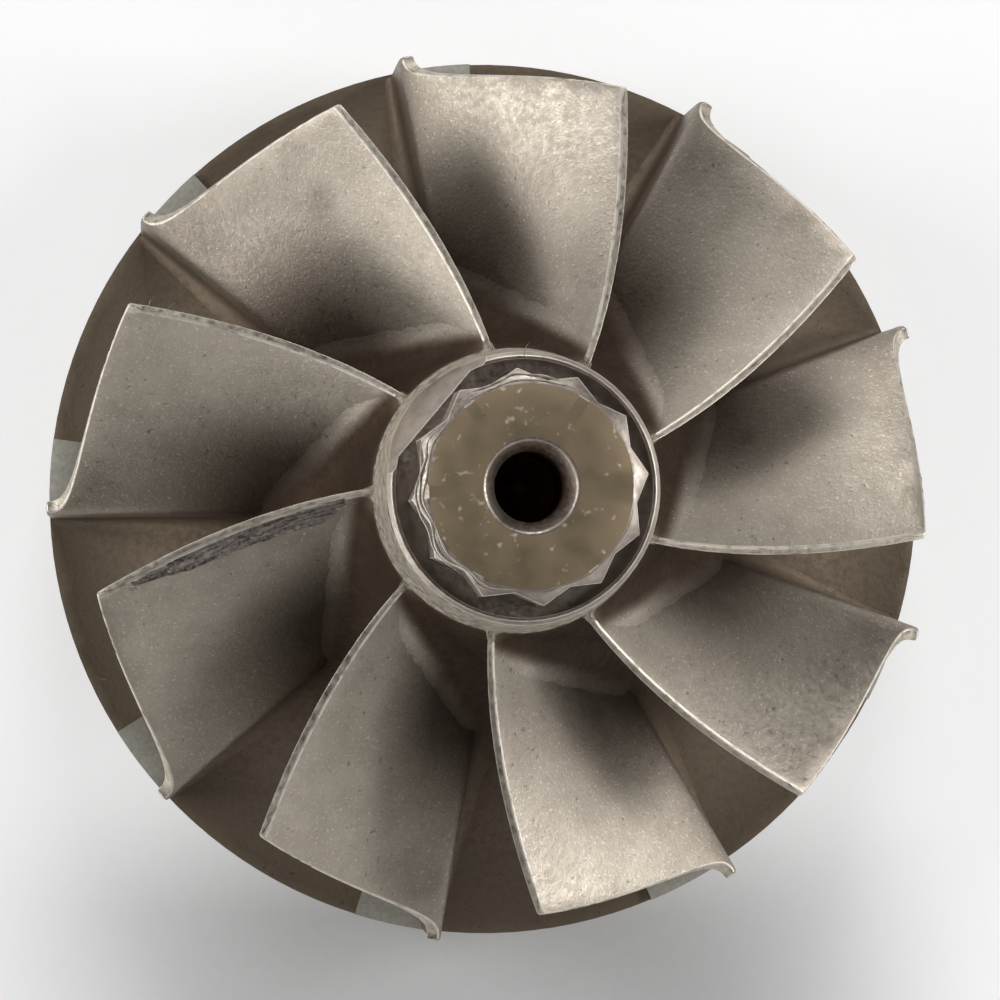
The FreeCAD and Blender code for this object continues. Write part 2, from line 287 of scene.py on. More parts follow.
def smeared_ridge(middle, wander, start, end, thickness, seed):
    """Metal smeared by a socket: a wavy ridge on the drive's bevel."""
    count = max(12, int(abs(end - start) * 0.9))
    path, radii = [], []
    for i in range(count + 1):
        share = i / count
        turn = math.radians(start + (end - start) * share)
        # It follows the drive's points and wanders between them.
        wave = 0.55 * math.cos(DRIVE_POINTS * (turn - math.radians(DRIVE_ANGLE)))
        wave += noise.noise(Vector((math.cos(turn) * 4, math.sin(turn) * 4, seed)))
        radius = middle + wander * wave
        fall = max(0.0, radius - FACE_RADIUS) * math.tan(math.radians(FACE_BEVEL_ANGLE))
        swell = 0.6 + 0.4 * noise.noise(Vector((turn * 9, seed, 0)))
        swell *= thickness * min(1.0, 0.15 + 5 * min(share, 1 - share))
        height = min(FACE_TOP - fall, FACE_TOP - swell)
        path.append(Vector((radius * math.cos(turn), radius * math.sin(turn), height)))
        radii.append(swell)
    return tube_sections(path, radii)


def whisker_sections(foot, lean, length, thickness):
    """A short curled sliver of metal."""
    bend = Vector((lean.y, -lean.x, 0.3)) * 0.35
    path = [foot + lean * (length * t) + bend * (length * t * t) for t in (-0.2, 0.1, 0.4, 0.7, 1.0)]
    return tube_sections(path, [thickness * w for w in (1, 0.9, 0.7, 0.5, 0.15)], 5)


def scar_sections():
    """Rough ground scar along the trailing edge, with raised lips."""
    across_count, along_count = 12, 130
    sections = []
    for i in range(along_count + 1):
        share = i / along_count
        along = SCAR_OUTER + (SCAR_INNER - SCAR_OUTER) * share
        edge = exducer_height(along)
        # The scar widens towards the hub and narrows at both ends, with a wavy lower border.
        narrowed = min(1.0, 0.30 + share * 2.4) * min(1.0, 0.25 + (1 - share) * 7)
        wave = noise.noise(Vector((along * 1.3, 3.1, 0)))
        bite = SCAR_WIDTH_AT_HUB * SCAR_INNER / along * narrowed * (1 + 0.14 * wave)
        ring_top, ring_low = [], []
        for j in range(across_count + 1):
            t = j / across_count
            height = edge - 0.03 - bite * t
            spot = flank(along, height, 1)
            normal = flank_normal(along, height, 1)
            # One lip along the lower border and one just under the edge.
            lip = math.exp(-((t - 0.9) / 0.07) ** 2) * 0.06 + math.exp(-((t - 0.2) / 0.05) ** 2) * 0.05
            rough = noise.noise(Vector((along * 2.2, t * 7, 1.0))) * 0.035
            rough += noise.noise(Vector((along * 7.0, t * 16, 5.0))) * 0.02
            if share < 0.22:
                rough *= 2.2
            rise = 0.022 + lip + rough
            if j in (0, across_count) or i in (0, along_count):
                rise = -0.03
            ring_top.append(spot + normal * max(rise, -0.03))
            ring_low.append(spot - normal * 0.06)
        sections.append(ring_top + ring_low[::-1])
    return sections


# Materials

def hex_colour(code):
    """An sRGB colour such as "a09788" as a linear RGBA value."""
    channels = [int(code[i:i + 2], 16) / 255 for i in (0, 2, 4)]
    linear = [c / 12.92 if c <= 0.04045 else ((c + 0.055) / 1.055) ** 2.4 for c in channels]
    return (*linear, 1.0)


def add(tree, kind, inputs=None, output=0, **settings):
    """Add a node. Inputs are values or sockets by name or index. Gives one output socket."""
    node = tree.nodes.new(kind)
    for name, value in settings.items():
        setattr(node, name, value)
    for key, value in (inputs or {}).items():
        if isinstance(value, bpy.types.NodeSocket):
            tree.links.new(value, node.inputs[key])
        else:
            node.inputs[key].default_value = value
    return node.outputs[output] if len(node.outputs) else node


def new_material(name):
    material = bpy.data.materials.new(name)
    material.use_nodes = True
    material.node_tree.nodes.clear()
    return material, material.node_tree


def per_mm(size_mm):
    """Noise scale for features of a size in millimetres."""
    return 1 / (size_mm * MM)


def wheel_position(tree):
    """Object position, with radius, height above the disc's front and position in millimetres."""
    position = add(tree, "ShaderNodeTexCoord", output="Object")
    mm = add(tree, "ShaderNodeVectorMath", {0: position, "Scale": 1000.0}, operation="SCALE")
    flat = add(tree, "ShaderNodeVectorMath", {0: mm, 1: (1, 1, 0)}, operation="MULTIPLY")
    radius = add(tree, "ShaderNodeVectorMath", {0: flat}, output=1, operation="LENGTH")
    z = add(tree, "ShaderNodeSeparateXYZ", {0: mm}, output=2)
    height = add(tree, "ShaderNodeMath", {0: z, 1: DISC_FRONT}, operation="SUBTRACT")
    return position, mm, radius, height


def floor_nearness(tree, radius, height, reach):
    """1 on the disc and the hub's curve, falling to 0 above them as the reach grows."""
    across = add(tree, "ShaderNodeMath", {0: DISC_RADIUS, 1: radius}, operation="SUBTRACT")
    across = add(tree, "ShaderNodeMath", {0: across, 1: HUB_REACH}, operation="DIVIDE")
    across = add(tree, "ShaderNodeMath", {0: across, 1: 2.0}, operation="POWER")
    down = add(tree, "ShaderNodeMath", {0: COLLAR_HEIGHT, 1: height}, operation="SUBTRACT")
    down = add(tree, "ShaderNodeMath", {0: down, 1: COLLAR_HEIGHT}, operation="DIVIDE")
    down = add(tree, "ShaderNodeMath", {0: down, 1: 2.0}, operation="POWER")
    both = add(tree, "ShaderNodeMath", {0: across, 1: down}, operation="ADD")
    return add(tree, "ShaderNodeMapRange",
               {"Value": both, "From Min": 1 - reach, "From Max": 1 - reach / 3},
               interpolation_type="SMOOTHSTEP")


def below_trailing_edge(tree, radius, height):
    """Height left up to the trailing edge, in millimetres."""
    fall = (EXDUCER_HUB_HEIGHT - EXDUCER_TIP_HEIGHT) / (TIP_RADIUS - EXDUCER_HUB_RADIUS)
    inward = add(tree, "ShaderNodeMath", {0: TIP_RADIUS, 1: radius}, operation="SUBTRACT")
    edge = add(tree, "ShaderNodeMath", {0: inward, 1: fall, 2: EXDUCER_TIP_HEIGHT},
               operation="MULTIPLY_ADD")
    return add(tree, "ShaderNodeMath", {0: edge, 1: height}, operation="SUBTRACT")


def edge_nearness(tree, radius, height):
    """1 at the shroud and trailing edges, falling to 0 a little inside them."""
    below = below_trailing_edge(tree, radius, height)
    trailing = add(tree, "ShaderNodeMapRange",
                   {"Value": below, "From Min": 0.02, "From Max": 0.42, "To Min": 1.0, "To Max": 0.0},
                   interpolation_type="SMOOTHSTEP")
    drop = add(tree, "ShaderNodeMath", {0: EXDUCER_TIP_HEIGHT, 1: height}, operation="SUBTRACT")
    share = add(tree, "ShaderNodeMath", {0: drop, 1: EXDUCER_TIP_HEIGHT - INDUCER_HEIGHT},
                operation="DIVIDE", use_clamp=True)
    power = add(tree, "ShaderNodeMath", {0: share, 1: SHROUD_SQUARENESS}, operation="POWER")
    left = add(tree, "ShaderNodeMath", {0: 1.0, 1: power}, operation="SUBTRACT", use_clamp=True)
    root = add(tree, "ShaderNodeMath", {0: left, 1: 1 / SHROUD_SQUARENESS}, operation="POWER")
    line = add(tree, "ShaderNodeMath", {0: root, 1: -EXDUCER_INSET, 2: DISC_RADIUS},
               operation="MULTIPLY_ADD")
    inside = add(tree, "ShaderNodeMath", {0: line, 1: radius}, operation="SUBTRACT")
    shroud = add(tree, "ShaderNodeMapRange",
                 {"Value": inside, "From Min": 0.03, "From Max": 0.16, "To Min": 1.0, "To Max": 0.0},
                 interpolation_type="SMOOTHSTEP")
    high = add(tree, "ShaderNodeMapRange",
               {"Value": height, "From Min": INDUCER_HEIGHT - 3, "From Max": INDUCER_HEIGHT},
               interpolation_type="SMOOTHSTEP")
    shroud = add(tree, "ShaderNodeMath", {0: shroud, 1: high}, operation="MULTIPLY")
    return trailing, shroud


def finish_metal(tree, colour, roughness, relief, bump_mm, strength=1.0, metallic=1.0):
    bump = add(tree, "ShaderNodeBump", {"Height": relief, "Distance": bump_mm * MM, "Strength": strength})
    shader = add(tree, "ShaderNodeBsdfPrincipled", {
        "Base Color": colour, "Roughness": roughness, "Normal": bump, "Metallic": metallic})
    add(tree, "ShaderNodeOutputMaterial", {"Surface": shader})


def cast_alloy():
    """Investment-cast nickel alloy, blasted: warm grey with a fine grain, its bright grains painted
    glints.

    Painted shade darkens and browns the passages, the disc and the hub, and handling has brightened the
    thin edges.
    """
    material, tree = new_material("cast_nickel_alloy")
    position, mm, radius, height = wheel_position(tree)
    fine = add(tree, "ShaderNodeTexNoise", {"Vector": position, "Scale": per_mm(0.16), "Detail": 2.0})
    grain = add(tree, "ShaderNodeTexNoise", {"Vector": position, "Scale": per_mm(0.42), "Detail": 4.0,
                                             "Roughness": 0.6})
    mottle = add(tree, "ShaderNodeTexNoise", {"Vector": position, "Scale": per_mm(2.2), "Detail": 4.0,
                                              "Roughness": 0.55})
    # Warm grey body, a little uneven.
    colour = add(tree, "ShaderNodeMix", {0: mottle, 6: hex_colour("968d80"), 7: hex_colour("bab1a4")},
                 output=2, data_type="RGBA")
    # Painted shade: darker and browner towards the passage floor and the hub.
    low = add(tree, "ShaderNodeMapRange",
              {"Value": height, "From Min": 1.0, "From Max": 13.0, "To Min": 0.85, "To Max": 0.0},
              interpolation_type="SMOOTHSTEP")
    uneven = add(tree, "ShaderNodeMath", {0: mottle, 1: 0.5, 2: 0.75}, operation="MULTIPLY_ADD")
    low = add(tree, "ShaderNodeMath", {0: low, 1: uneven}, operation="MULTIPLY", use_clamp=True)
    colour = add(tree, "ShaderNodeMix", {0: low, 6: colour, 7: hex_colour("58493b")},
                 output=2, data_type="RGBA")
    # Painted shade on the disc and the hub's curve below the collar: a darker colour, with a rougher
    # finish.
    rough_floor_and_painted_shade = floor_nearness(tree, radius, height, 0.14)
    below_collar = add(tree, "ShaderNodeMapRange", {"Value": height, "From Min": 21.5, "From Max": 19.5},
                       interpolation_type="SMOOTHSTEP")
    rough_floor_and_painted_shade = add(tree, "ShaderNodeMath", {0: rough_floor_and_painted_shade, 1: below_collar}, operation="MULTIPLY")
    colour = add(tree, "ShaderNodeMix", {0: rough_floor_and_painted_shade, 6: colour, 7: hex_colour("7d7061")},
                 output=2, data_type="RGBA")
    # Painted shade deep in the passages, next to the hub, where little light reaches.
    below = below_trailing_edge(tree, radius, height)
    deep = add(tree, "ShaderNodeMapRange", {"Value": below, "From Min": 2.0, "From Max": 7.2},
               interpolation_type="SMOOTHSTEP")
    inner = add(tree, "ShaderNodeMapRange", {"Value": radius, "From Min": 22.0, "From Max": 13.5},
                interpolation_type="SMOOTHSTEP")
    passage_painted_shade = add(tree, "ShaderNodeMath", {0: deep, 1: inner}, operation="MULTIPLY")
    hub = add(tree, "ShaderNodeMapRange", {"Value": height, "From Min": 20.2, "From Max": 18.6},
              interpolation_type="SMOOTHSTEP")
    hub = add(tree, "ShaderNodeMath", {0: hub, 1: inner}, operation="MULTIPLY")
    root = floor_nearness(tree, radius, height, 0.14)
    hub = add(tree, "ShaderNodeMath", {0: hub, 1: root}, operation="MULTIPLY")
    passage_painted_shade = add(tree, "ShaderNodeMath", {0: passage_painted_shade, 1: hub}, operation="MAXIMUM")
    passage_painted_shade = add(tree, "ShaderNodeMath", {0: passage_painted_shade, 1: uneven}, operation="MULTIPLY", use_clamp=True)
    passage_painted_shade_share = add(tree, "ShaderNodeMath", {0: passage_painted_shade, 1: 0.82}, operation="MULTIPLY")
    colour = add(tree, "ShaderNodeMix", {0: passage_painted_shade_share, 6: colour, 7: hex_colour("38281c")},
                 output=2, data_type="RGBA")
    # Painted shade: faces that look downward, such as the backs of the blades, are darker.
    facing = add(tree, "ShaderNodeTexCoord", output="Normal")
    facing = add(tree, "ShaderNodeSeparateXYZ", {0: facing}, output=2)
    underside_painted_shade = add(tree, "ShaderNodeMapRange",
                    {"Value": facing, "From Min": 0.0, "From Max": -0.45, "To Max": 0.75},
                    interpolation_type="SMOOTHSTEP")
    above = add(tree, "ShaderNodeMapRange", {"Value": height, "From Min": -0.1, "From Max": 0.4})
    underside_painted_shade = add(tree, "ShaderNodeMath", {0: underside_painted_shade, 1: above}, operation="MULTIPLY")
    colour = add(tree, "ShaderNodeMix", {0: underside_painted_shade, 6: colour, 7: hex_colour("5e5043")},
                 output=2, data_type="RGBA")
    # Pores, and bright grains that are painted glints.
    pores = add(tree, "ShaderNodeMapRange",
                {"Value": grain, "From Min": 0.36, "From Max": 0.30, "To Max": 0.5})
    colour = add(tree, "ShaderNodeMix", {0: pores, 6: colour, 7: hex_colour("453b31")},
                 output=2, data_type="RGBA")
    bright = add(tree, "ShaderNodeMapRange",
                 {"Value": fine, "From Min": 0.60, "From Max": 0.72, "To Max": 0.5})
    # No painted glints where painted shade lies.
    dull = add(tree, "ShaderNodeMath", {0: rough_floor_and_painted_shade, 1: passage_painted_shade}, operation="MAXIMUM")
    clean = add(tree, "ShaderNodeMath", {0: 1.0, 1: dull}, operation="SUBTRACT", use_clamp=True)
    bright = add(tree, "ShaderNodeMath", {0: bright, 1: clean}, operation="MULTIPLY")
    colour = add(tree, "ShaderNodeMix", {0: bright, 6: colour, 7: hex_colour("ddd5c8")},
                 output=2, data_type="RGBA")
    # Smudge on one blade and a dark speck on another.
    for spot, reach, depth in (SMUDGE, DARK_SPECK):
        away = add(tree, "ShaderNodeVectorMath", {0: mm, 1: spot}, output=1, operation="DISTANCE")
        mark = add(tree, "ShaderNodeMapRange",
                   {"Value": away, "From Min": 0.2 * reach, "From Max": reach,
                    "To Min": depth, "To Max": 0.0},
                   interpolation_type="SMOOTHSTEP")
        mark = add(tree, "ShaderNodeMath", {0: mark, 1: grain}, operation="MULTIPLY")
        colour = add(tree, "ShaderNodeMix", {0: mark, 6: colour, 7: hex_colour("2e2823")},
                     output=2, data_type="RGBA")
    # Worn edges, broken up by the grain.
    trailing, shroud = edge_nearness(tree, radius, height)
    worn = add(tree, "ShaderNodeMath", {0: trailing, 1: shroud}, operation="MAXIMUM")
    worn = add(tree, "ShaderNodeMath", {0: worn, 1: grain, 2: 0.12}, operation="MULTIPLY_ADD")
    worn = add(tree, "ShaderNodeMapRange", {"Value": worn, "From Min": 0.40, "From Max": 0.75})
    colour = add(tree, "ShaderNodeMix", {0: worn, 6: colour, 7: hex_colour("cbc3b6")},
                 output=2, data_type="RGBA")
    rough = add(tree, "ShaderNodeMapRange",
                {"Value": grain, "From Min": 0.3, "From Max": 0.7, "To Min": 0.38, "To Max": 0.54})
    rough = add(tree, "ShaderNodeMath", {0: worn, 1: 0.14, 2: rough}, operation="MULTIPLY_ADD")
    rough = add(tree, "ShaderNodeMath", {0: rough_floor_and_painted_shade, 1: 0.22, 2: rough}, operation="MULTIPLY_ADD")
    relief = add(tree, "ShaderNodeMath", {0: fine, 1: 0.6, 2: grain}, operation="MULTIPLY_ADD")
    finish_metal(tree, colour, rough, relief, 0.022, 0.8)
    return material


def machined_nose():
    """Turned and knocked metal of the collar, drive and boss: a bright, blotchy grey, finely pitted."""
    material, tree = new_material("machined_nickel_alloy")
    position = add(tree, "ShaderNodeTexCoord", output="Object")
    pits = add(tree, "ShaderNodeTexNoise", {"Vector": position, "Scale": per_mm(0.22), "Detail": 3.0})
    patches = add(tree, "ShaderNodeTexNoise", {"Vector": position, "Scale": per_mm(0.9), "Detail": 3.0})
    colour = add(tree, "ShaderNodeMix", {0: patches, 6: hex_colour("85776d"), 7: hex_colour("bdb4aa")},
                 output=2, data_type="RGBA")
    rough = add(tree, "ShaderNodeMapRange",
                {"Value": pits, "From Min": 0.3, "From Max": 0.7, "To Min": 0.36, "To Max": 0.54})
    finish_metal(tree, colour, rough, pits, 0.012, 0.7)
    return material


def turned_face():
    """End face of the nose: fine turned rings, tan, with small bright dings."""
    material, tree = new_material("turned_end_face")
    position, _, radius, _ = wheel_position(tree)
    wander = add(tree, "ShaderNodeTexNoise", {"Vector": position, "Scale": per_mm(1.5)})
    # Rings are drawn 0.13 mm apart, coarser than the tool left them, so that they show at all.
    phase = add(tree, "ShaderNodeMath", {0: radius, 1: math.tau / TURNED_RING_PITCH, 2: wander},
                operation="MULTIPLY_ADD")
    rings = add(tree, "ShaderNodeMath", {0: phase}, operation="SINE")
    dings = add(tree, "ShaderNodeTexNoise", {"Vector": position, "Scale": per_mm(0.55), "Detail": 1.0})
    ding = add(tree, "ShaderNodeMapRange", {"Value": dings, "From Min": 0.67, "From Max": 0.78})
    colour = add(tree, "ShaderNodeMix", {0: wander, 6: hex_colour("8f7f67"), 7: hex_colour("a3927a")},
                 output=2, data_type="RGBA")
    colour = add(tree, "ShaderNodeMix", {0: ding, 6: colour, 7: hex_colour("d3c7b0")},
                 output=2, data_type="RGBA")
    rough = add(tree, "ShaderNodeMapRange",
                {"Value": wander, "From Min": 0.3, "From Max": 0.7, "To Min": 0.55, "To Max": 0.66})
    relief = add(tree, "ShaderNodeMath", {0: rings, 1: 0.09, 2: ding}, operation="MULTIPLY_ADD")
    finish_metal(tree, colour, rough, relief, 0.012, 0.7)
    return material


def centre_hole_oil_and_painted_shade():
    """Inside of the centre hole: brown with old cutting oil, painted darker as shade, and near black in
    its own shade.
    """
    material, tree = new_material("oily_bore_painted_shade")
    position = add(tree, "ShaderNodeTexCoord", output="Object")
    film = add(tree, "ShaderNodeTexNoise", {"Vector": position, "Scale": per_mm(0.7)})
    colour = add(tree, "ShaderNodeMix", {0: film, 6: hex_colour("5a4530"), 7: hex_colour("97785a")},
                 output=2, data_type="RGBA")
    finish_metal(tree, colour, 0.38, film, 0.02, 0.5, 0.8)
    return material


def ground_scar():
    """Blade metal torn by a grinding disc: darker and rough, with streaks along the edge."""
    material, tree = new_material("torn_ground_metal")
    position, _, radius, height = wheel_position(tree)
    below = below_trailing_edge(tree, radius, height)
    # Streaks are 0.12 mm wide and ten times as long. They are drawn about twice as coarse as real.
    along = add(tree, "ShaderNodeMath", {0: radius, 1: 0.8}, operation="MULTIPLY")
    across = add(tree, "ShaderNodeMath", {0: below, 1: 8.0}, operation="MULTIPLY")
    place_on_scar = add(tree, "ShaderNodeCombineXYZ", {0: along, 1: across})
    streaks = add(tree, "ShaderNodeTexNoise", {"Vector": place_on_scar, "Scale": 1.0, "Detail": 3.0})
    tears = add(tree, "ShaderNodeTexNoise", {"Vector": position, "Scale": per_mm(0.25), "Detail": 5.0,
                                             "Roughness": 0.65})
    torn = add(tree, "ShaderNodeMath", {0: streaks, 1: tears}, operation="ADD")
    light_part = add(tree, "ShaderNodeMapRange", {"Value": torn, "From Min": 0.78, "From Max": 1.20})
    colour = add(tree, "ShaderNodeMix", {0: light_part, 6: hex_colour("4b433f"), 7: hex_colour("a39a93")},
                 output=2, data_type="RGBA")
    finish_metal(tree, colour, 0.45, torn, 0.05, 0.9)
    return material


def ground_pad():
    """Pads on the disc's rim, ground flat and left matt."""
    material, tree = new_material("matt_ground_pad")
    position = add(tree, "ShaderNodeTexCoord", output="Object")
    grit = add(tree, "ShaderNodeTexNoise", {"Vector": position, "Scale": per_mm(0.25), "Detail": 3.0})
    colour = add(tree, "ShaderNodeMix", {0: grit, 6: hex_colour("9a978d"), 7: hex_colour("c9c5bb")},
                 output=2, data_type="RGBA")
    finish_metal(tree, colour, 0.62, grit, 0.015, 0.7)
    return material


def burnished_edge():
    """Thin edges rubbed bright, with breaks where they are dented."""
    material, tree = new_material("burnished_edge")
    position = add(tree, "ShaderNodeTexCoord", output="Object")
    dents = add(tree, "ShaderNodeTexNoise", {"Vector": position, "Scale": per_mm(0.8), "Detail": 4.0})
    colour = add(tree, "ShaderNodeMix", {
        0: add(tree, "ShaderNodeMapRange", {"Value": dents, "From Min": 0.26, "From Max": 0.50}),
        6: hex_colour("988e82"), 7: hex_colour("d6cec2")}, output=2, data_type="RGBA")
    finish_metal(tree, colour, 0.50, dents, 0.02, 0.7)
    return material


CAST, MACHINED, FACE, BORE, SCAR, PAD, EDGE = range(7)


def surface_kind(centre, normal):
    """Which finish a face of the wheel has."""
    radius = math.hypot(centre.x, centre.y)
    # The nose's end face.
    if centre.z > FACE_TOP - 0.01 and radius > CENTRE_MOUTH_RADIUS - 0.05:
        return FACE
    # The centre hole below its chamfer.
    if radius < CENTRE_MOUTH_RADIUS - 0.35 and DISC_FRONT + 12 < centre.z < FACE_TOP - 0.9:
        return BORE
    # The drive, the relief round it and the collar's lip.
    if centre.z > COLLAR_TOP - 0.7 and radius < COLLAR_RADIUS + 0.05:
        return MACHINED
    # The slope of the balance cut in the collar.
    if centre.z > COLLAR_TOP - 6 and radius < COLLAR_RADIUS + 0.5 and normal.z > 0.35:
        return MACHINED
    # The weld boss with its bore.
    if centre.z < BOSS_LENGTH and radius < 9.5:
        return MACHINED
    # Tops and sides of the pads at the rim.
    rise = centre.z - DISC_FRONT
    if 0.2 < rise < PAD_HEIGHT + 0.02 and radius > DISC_RADIUS - PAD_WIDTH - 0.05:
        if normal.z > 0.99 or abs(normal.z) < 0.1:
            return PAD
    return CAST


def bare_wheel():
    """The solid's mesh in millimetres, merged, with a finish on each face."""
    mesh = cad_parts["turbine_wheel"].data.copy()
    mesh.name = "turbine_wheel_dressed"
    mesh.materials.clear()
    for finish in (cast_alloy(), machined_nose(), turned_face(), centre_hole_oil_and_painted_shade(), ground_scar(), ground_pad(),
                   burnished_edge()):
        mesh.materials.append(finish)
    mesh.transform(Matrix.Scale(1 / MM, 4))
    surface = bmesh.new()
    surface.from_mesh(mesh)
    bmesh.ops.remove_doubles(surface, verts=surface.verts, dist=MERGE_DISTANCE)
    surface.normal_update()
    for face in surface.faces:
        face.smooth = True
        face.material_index = surface_kind(face.calc_center_median(), face.normal)
    return mesh, surface


def sharp_edges(surface, wanted):
    """Convex sharp edges whose radius and height above the disc's front are wanted."""
    found = []
    for edge in surface.edges:
        if edge.is_manifold and edge.is_convex and edge.calc_face_angle() > math.radians(SHARP_EDGE_ANGLE):
            middle = (edge.verts[0].co + edge.verts[1].co) / 2
            if wanted(math.hypot(middle.x, middle.y), middle.z - DISC_FRONT):
                found.append(edge)
    return found


def round_sharp_edges(surface):
    """Rounds on the blades, the rim, the nose and the mouth of the centre hole."""
    # Offset, segments, whether it stops at its neighbours, finish, and where the edges are.
    top_of_pad = PAD_HEIGHT + 0.1
    rounds = (
        (BLADE_EDGE_ROUND, 3, False, EDGE, lambda r, h: r > 8.6 and top_of_pad < h < EXDUCER_HUB_HEIGHT),
        (RIM_ROUND, 2, True, CAST, lambda r, h: r > DISC_RADIUS - 0.05 and h < top_of_pad),
        (NOSE_ROUND, 2, True, EDGE, lambda r, h: CENTRE_MOUTH_RADIUS + 0.1 < r < COLLAR_RADIUS + 0.6
         and h > COLLAR_HEIGHT - 6),
        (MOUTH_ROUND, 3, True, MACHINED, lambda r, h: abs(r - CENTRE_MOUTH_RADIUS) < 0.1
         and h > COLLAR_HEIGHT),
    )
    for offset, segments, clamp, finish, wanted in rounds:
        bmesh.ops.bevel(surface, geom=sharp_edges(surface, wanted), offset=offset, segments=segments,
                        profile=0.5, affect="EDGES", clamp_overlap=clamp, material=finish)
    bmesh.ops.dissolve_degenerate(surface, edges=surface.edges, dist=0.0002)


def add_root_fillets(surface):
    for side in (1, -1):
        sections = root_fillet_sections(side)
        for index in range(BLADE_COUNT):
            add_strip(surface, sections, blade_turn(index), CAST)


def add_damage(surface):
    """Ground scar, metal smeared on the drive, and slivers left standing on the edges."""
    add_strip(surface, scar_sections(), blade_turn(SCAR_BLADE), SCAR)
    for ridge in SMEARED_RIDGES:
        add_strip(surface, smeared_ridge(*ridge), 0.0, EDGE)
    collar_foot = Vector((0, COLLAR_RADIUS - 0.1, COLLAR_TOP))
    add_strip(surface, whisker_sections(collar_foot, Vector((0.1, 1, 0)), 0.65, 0.028), 0.0, MACHINED)
    for radius, lean in EDGE_SLIVERS:
        foot = blade_point(EDGE_SLIVER_BLADE, radius, exducer_height(radius), -1)
        add_strip(surface, whisker_sections(foot, lean, 0.45, 0.026), 0.0, MACHINED)
    foot = blade_point(SCAR_BLADE, DISC_RADIUS - 1.15, 13.4, 1)
    add_strip(surface, whisker_sections(foot, Vector((-1, 0.1, 0)), 0.45, 0.026), 0.0, MACHINED)


def dressed_wheel():
    """A merged copy of the wheel's mesh with rounded edges, root fillets and damage."""
    mesh, surface = bare_wheel()
    round_sharp_edges(surface)
    add_root_fillets(surface)
    add_damage(surface)
    for corner in surface.verts:
        corner.co = within_rim(corner.co, 0.0)
    surface.normal_update()
    for edge in surface.edges:
        edge.smooth = (not edge.is_manifold
                       or edge.calc_face_angle(0.0) < math.radians(SHARPEST_SMOOTH_ANGLE))
    surface.to_mesh(mesh)
    surface.free()
    mesh.transform(Matrix.Scale(MM, 4))
    piece = bpy.data.objects.new("turbine_wheel_dressed", mesh)
    bpy.context.scene.collection.objects.link(piece)
    return piece


wheel = dressed_wheel()
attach(wheel, "root")
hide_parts("turbine_wheel")


# Camera, placed by a fit of the view to the wheel's circles and blade edges.
CAMERA_HEIGHT = 9 * DISC_RADIUS
CAMERA_LEAN_X = math.radians(-4.83)
CAMERA_LEAN_Y = math.radians(-1.25)
AIM = Vector((-0.35, -0.41, DISC_FRONT + DISC_RADIUS / 2)) * MM
FOCAL_PIXELS = 3923.9
FRAME_PIXELS = 1000

place = Vector((CAMERA_HEIGHT * math.tan(CAMERA_LEAN_X),
                CAMERA_HEIGHT * math.tan(CAMERA_LEAN_Y),
                CAMERA_HEIGHT + DISC_FRONT)) * MM
ahead = (AIM - place).normalized()
right = ahead.cross(Vector((0, 1, 0))).normalized()
up = right.cross(ahead)
lens = bpy.data.cameras.new("camera")
lens.sensor_fit = "HORIZONTAL"
lens.sensor_width = 36
lens.lens = FOCAL_PIXELS / FRAME_PIXELS * lens.sensor_width
lens.clip_start = 0.01
camera = bpy.data.objects.new("camera", lens)
bpy.context.scene.collection.objects.link(camera)
turn = Matrix((right, up, -ahead)).transposed()
camera.matrix_world = Matrix.Translation(place) @ turn.to_4x4()
bpy.context.scene.camera = camera


TABLE_WIDTH = 4.0
FLOOR_LIFT = 0.48
# Place and size of the painted shadow on the floor, in front of the wheel.
PAINTED_SHADOW_AHEAD = 1.25 * DISC_RADIUS * MM
PAINTED_SHADOW_HALF_WIDTH = 1.35 * DISC_RADIUS * MM
PAINTED_SHADOW_HALF_DEPTH = 0.75 * DISC_RADIUS * MM


